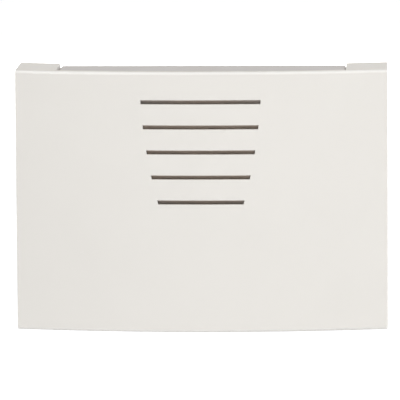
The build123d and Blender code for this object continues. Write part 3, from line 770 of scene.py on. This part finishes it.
def make_retainers():
    """The four retainers of both bars, as one piece."""
    parts = []
    for bar in BARS:
        side = bar["side"]
        for z in bar["levels"]:
            parts.append(turned(RETAINER_RIM, (0, AXIS_Y, z), (side, 0, 0), RIM_SIDES))
            for tooth in range(TEETH):
                middle = 2 * math.pi * (tooth + 0.5) / TEETH
                grids = [tooth_face(side, z, middle, shift) for shift in (0.0, TOOTH_THICKNESS)]
                parts.append(slab(*(grids if side > 0 else reversed(grids))))
    piece("star_retainers", *joined(*parts), "pin_steel", crease=35,
          replaces=["tone_bar_retainers"])


# The felt pad: soft edges, an uneven fibrous face, and a dent where the plunger's tip rests.
# Each fuzz is (height, scale).
FELT_TRIM, FELT_ROUND, FELT_CUTS = (0.10, 0.14, 0.14), 0.62, 30
COARSE_FUZZ, FINE_FUZZ = (0.07, 2.3), (0.05, 6.1)
DENT_DEPTH, DENT_RADIUS, DENT_STEEPNESS = 0.22, 2.6, 4
FACES_PLUNGER = 0.9


def fuzz(place):
    """How far the fibres stand out or in at a place on the pad."""
    layers = (COARSE_FUZZ, FINE_FUZZ)
    return sum(height * point_noise.noise(place * scale) for height, scale in layers)


def dent(place, out):
    """How far the plunger's tip has pressed the pad in at a place that faces out."""
    if out.x <= FACES_PLUNGER:
        return 0
    off_middle = Vector((place.y, place.z)).length / DENT_RADIUS
    return DENT_DEPTH * math.exp(-off_middle ** DENT_STEEPNESS)


def make_felt():
    """A fine cube drawn out to the pad's box, with its edges rounded and its faces fuzzy."""
    low, high = (Vector(corner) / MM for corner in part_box("rear_stop_felt"))
    middle, half = (low + high) / 2, (high - low) / 2 - Vector(FELT_TRIM)
    core = half - Vector((FELT_ROUND, FELT_ROUND, FELT_ROUND))
    made = bmesh.new()
    bmesh.ops.create_cube(made, size=2)
    bmesh.ops.subdivide_edges(made, edges=made.edges[:], cuts=FELT_CUTS, use_grid_fill=True)
    verts = []
    for vert in made.verts:
        point = Vector([c * h for c, h in zip(vert.co, half)])
        inside = Vector([max(-k, min(k, c)) for c, k in zip(point, core)])
        out = (point - inside).normalized()
        place = inside + out * FELT_ROUND
        verts.append(tuple(middle + place + out * (fuzz(place) - dent(place, out))))
    made.verts.index_update()
    faces = [tuple(v.index for v in face.verts) for face in made.faces]
    made.free()
    pad = piece("rear_felt_pad", verts, faces, "felt", crease=180, replaces=["rear_stop_felt"])


for label, z in AXES:
    make_spring(label, z)
    make_winding(label, z)
    make_tape(label, z)
for lead in LEADS:
    make_lead(**lead)
make_solder()
for bar in BARS:
    make_grommets(**bar)
make_retainers()
make_felt()


# Stage, world and lamps
FLOOR_REACH, FLOOR_LEVEL, FLOOR_GLOW = 8.0, -0.32, 0.75
FLOOR_COLOURS = ((0.78, 0.78, 0.775), (0.82, 0.82, 0.815))
FLOOR_SCALE, FLOOR_DETAIL = 3.0, 2.0
WHITE = (1, 1, 1, 1)
WORLD_LEVEL = 0.225


def seen_directly(tree):
    """1 for camera, glossy and transmission rays."""
    path = new_node(tree, "ShaderNodeLightPath")
    total = path.outputs["Is Camera Ray"]
    for name in ("Is Glossy Ray", "Is Transmission Ray"):
        total = calculate(tree, "MAXIMUM", total, path.outputs[name])
    return total


def pick_shader(tree, factor, first, second):
    """The first shader where factor is 0 and the second where it is 1."""
    pick = new_node(tree, "ShaderNodeMixShader")
    tree.links.new(factor, pick.inputs[0])
    tree.links.new(first.outputs[0], pick.inputs[1])
    tree.links.new(second.outputs[0], pick.inputs[2])
    return pick


def make_floor():
    """A wide pale floor below the hung box. It keeps the box's shadow."""
    far, level = FLOOR_REACH, FLOOR_LEVEL
    corners = [(-far, -far, level), (far, -far, level), (far, far, level), (-far, far, level)]
    mesh = bpy.data.meshes.new("floor")
    mesh.from_pydata(corners, [], [(0, 1, 2, 3)])
    material = bpy.data.materials.new("floor")
    material.use_nodes = True
    tree = material.node_tree
    paper = tree.nodes["Principled BSDF"]
    paper.inputs["Roughness"].default_value = 0.9
    paper.inputs["Specular IOR Level"].default_value = 0.1
    patches = spread(tree, noise(tree, FLOOR_SCALE, FLOOR_DETAIL), *PATCHY)
    tree.links.new(blend(tree, patches, *FLOOR_COLOURS), paper.inputs["Base Color"])
    dark = new_node(tree, "ShaderNodeEmission", Strength=0.0)
    glow = new_node(tree, "ShaderNodeEmission", Strength=FLOOR_GLOW)
    lift = pick_shader(tree, seen_directly(tree), dark, glow)
    both = new_node(tree, "ShaderNodeAddShader")
    tree.links.new(paper.outputs[0], both.inputs[0])
    tree.links.new(lift.outputs[0], both.inputs[1])
    tree.links.new(both.outputs[0], tree.nodes["Material Output"].inputs["Surface"])
    mesh.materials.append(material)
    floor = bpy.data.objects.new("floor", mesh)
    bpy.context.scene.collection.objects.link(floor)


def make_world():
    """Soft light from all round, seen as plain white."""
    world = bpy.data.worlds.new("world")
    bpy.context.scene.world = world
    world.use_nodes = True
    tree = world.node_tree
    fill = tree.nodes["Background"]
    fill.inputs["Color"].default_value = WHITE
    fill.inputs["Strength"].default_value = WORLD_LEVEL
    white = new_node(tree, "ShaderNodeBackground", Color=WHITE, Strength=1.0)
    pick = pick_shader(tree, seen_directly(tree), fill, white)
    tree.links.new(pick.outputs[0], tree.nodes["World Output"].inputs["Surface"])


# share is the light that a lamp adds on a surface turned towards it. Only the strip is
# mirrored, as the bright line along the cover's upper front edge.
LAMPS = (
    dict(name="key", azimuth=22, elevation=47, distance=4.0, size=(1.0, 1.0), share=0.395),
    dict(name="strip", azimuth=2.3, elevation=47, distance=4.0, size=(3.0, 0.6), share=0.09,
         mirrored=True),
    dict(name="left", azimuth=-103, elevation=3, distance=4.0, size=(1.0, 1.0), share=0.26),
    dict(name="right", azimuth=103, elevation=3, distance=4.0, size=(1.0, 1.0), share=0.26),
    dict(name="back", azimuth=180, elevation=3, distance=4.0, size=(1.0, 1.0), share=0.15),
    dict(name="front", azimuth=2.3, elevation=6.9, distance=2.6, size=(0.10, 0.10), share=0.262),
)


def make_lamp(name, azimuth, elevation, distance, size, share, mirrored=False):
    """An area lamp aimed at the middle of the scene, size wide and high."""
    back = direction(azimuth, elevation)
    data = bpy.data.lights.new(name, "AREA")
    data.shape = "RECTANGLE"
    data.size, data.size_y = size
    data.energy = share * math.pi ** 2 * distance ** 2
    lamp = bpy.data.objects.new(name, data)
    lamp.location = back * distance
    lamp.rotation_mode = "QUATERNION"
    lamp.rotation_quaternion = (-back).to_track_quat("-Z", "Y")
    lamp.visible_camera = False
    lamp.visible_glossy = mirrored
    bpy.context.scene.collection.objects.link(lamp)


make_camera()
make_floor()
make_world()
for lamp in LAMPS:
    make_lamp(**lamp)
bpy.context.scene.view_settings.view_transform = "Standard"
